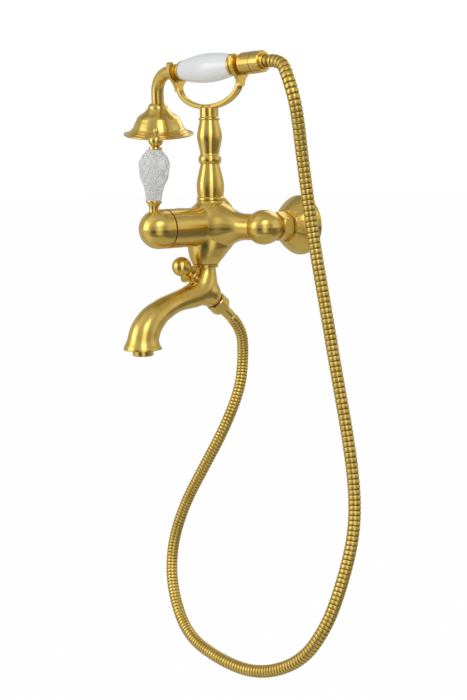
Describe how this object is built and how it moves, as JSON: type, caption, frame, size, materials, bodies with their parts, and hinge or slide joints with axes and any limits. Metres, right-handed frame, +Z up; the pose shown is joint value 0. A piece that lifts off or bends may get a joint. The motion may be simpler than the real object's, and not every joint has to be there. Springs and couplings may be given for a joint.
{
  "type": "bath mixer",
  "caption": "Wall-held bath mixer with a domed lever, swan spout, pull diverter, turned column with a cradle, and a telephone hand shower on a ribbed hose.",
  "frame": {"origin": "on the wall, midway between the two water inlets", "axes": "+X along the wall, to the right seen from the room, +Y into the wall, +Z up"},
  "size_m": [0.3808, 0.2247, 0.7327],
  "materials": {
    "gold_brass": "satin, brushed antique gold",
    "raw_brass": "machined",
    "crystal": "clear, cut",
    "porcelain": "gloss white",
    "black_rubber": "matt",
    "white_plastic": "moulded",
    "technical_ceramic": "lapped",
    "plain_steel": "machined"
  },
  "bodies": {
    "mixer": {"wall_rosette_left": "gold_brass", "wall_rosette_right": "gold_brass", "wall_union_left": "raw_brass", "wall_union_right": "raw_brass", "union_nut_left": "gold_brass", "union_nut_right": "gold_brass", "union_washer_left": "black_rubber", "union_washer_right": "black_rubber", "inlet_strainer_left": "plain_steel", "inlet_strainer_right": "plain_steel", "valve_body": "gold_brass", "cartridge_body": "white_plastic", "cartridge_seals": "black_rubber", "retaining_ring": "raw_brass", "ceramic_disc_fixed": "technical_ceramic", "column_lower": "gold_brass", "column_upper": "gold_brass", "column_stud": "plain_steel", "cradle": "gold_brass", "spout_seal": "black_rubber", "spout_ring": "gold_brass", "spout": "gold_brass", "aerator_washer": "black_rubber", "aerator_housing": "gold_brass", "aerator_insert": "white_plastic", "diverter_bonnet": "gold_brass", "diverter_seals": "black_rubber", "hose_washers_lower": "black_rubber", "hose_nut_lower": "gold_brass", "hose_collet_lower": "gold_brass", "shower_hose": "gold_brass"},
    "cartridge_turn": {"cartridge_rotor": "white_plastic", "pivot_pin": "plain_steel"},
    "disc_slide": {"ceramic_disc_moving": "technical_ceramic", "disc_carrier": "white_plastic"},
    "handle": {"spindle": "raw_brass", "dome_handle": "gold_brass", "grub_screw": "plain_steel", "lever_cup": "gold_brass", "lever_crystal": "crystal", "lever_finial": "gold_brass", "lever_rod": "plain_steel"},
    "diverter": {"diverter_knob": "gold_brass", "diverter_stem": "plain_steel", "diverter_valve": "black_rubber"},
    "handset": {"handset_tail": "gold_brass", "porcelain_grip": "porcelain", "handset_tube": "gold_brass", "gooseneck": "gold_brass", "shower_bell": "gold_brass", "spray_plate": "gold_brass", "spray_seal": "black_rubber", "spray_screw": "gold_brass", "handset_seam_ring": "black_rubber", "hose_nut_upper": "gold_brass", "hose_washer_upper": "black_rubber", "hose_collet_upper": "gold_brass"}
  },
  "joints": [
    {"name": "temperature_turn", "type": "hinge", "parent": "mixer", "child": "cartridge_turn", "pos_m": [0, -0.161, 0], "axis": [0, 1, 0], "range_deg": [-45, 45]},
    {"name": "flow_lift", "type": "hinge", "parent": "cartridge_turn", "child": "handle", "pos_m": [0, -0.161, 0], "axis": [1, 0, 0], "range_deg": [0, 20]},
    {"name": "ceramic_slide", "type": "slide", "parent": "cartridge_turn", "child": "disc_slide", "axis": [0, 0, 1], "range_m": [0, 0.0069]},
    {"name": "diverter_pull", "type": "slide", "parent": "mixer", "child": "diverter", "axis": [0, -0.7581, 0.6521], "range_m": [0, 0.008]},
    {"name": "handset_lift", "type": "slide", "parent": "mixer", "child": "handset", "axis": [0, 0, 1], "range_m": [0, 0.06], "deforming": ["shower_hose"]}
  ],
  "couplings": [
    {"joint": "ceramic_slide", "follows": "flow_lift", "m_per_rad": 0.0196}
  ]
}
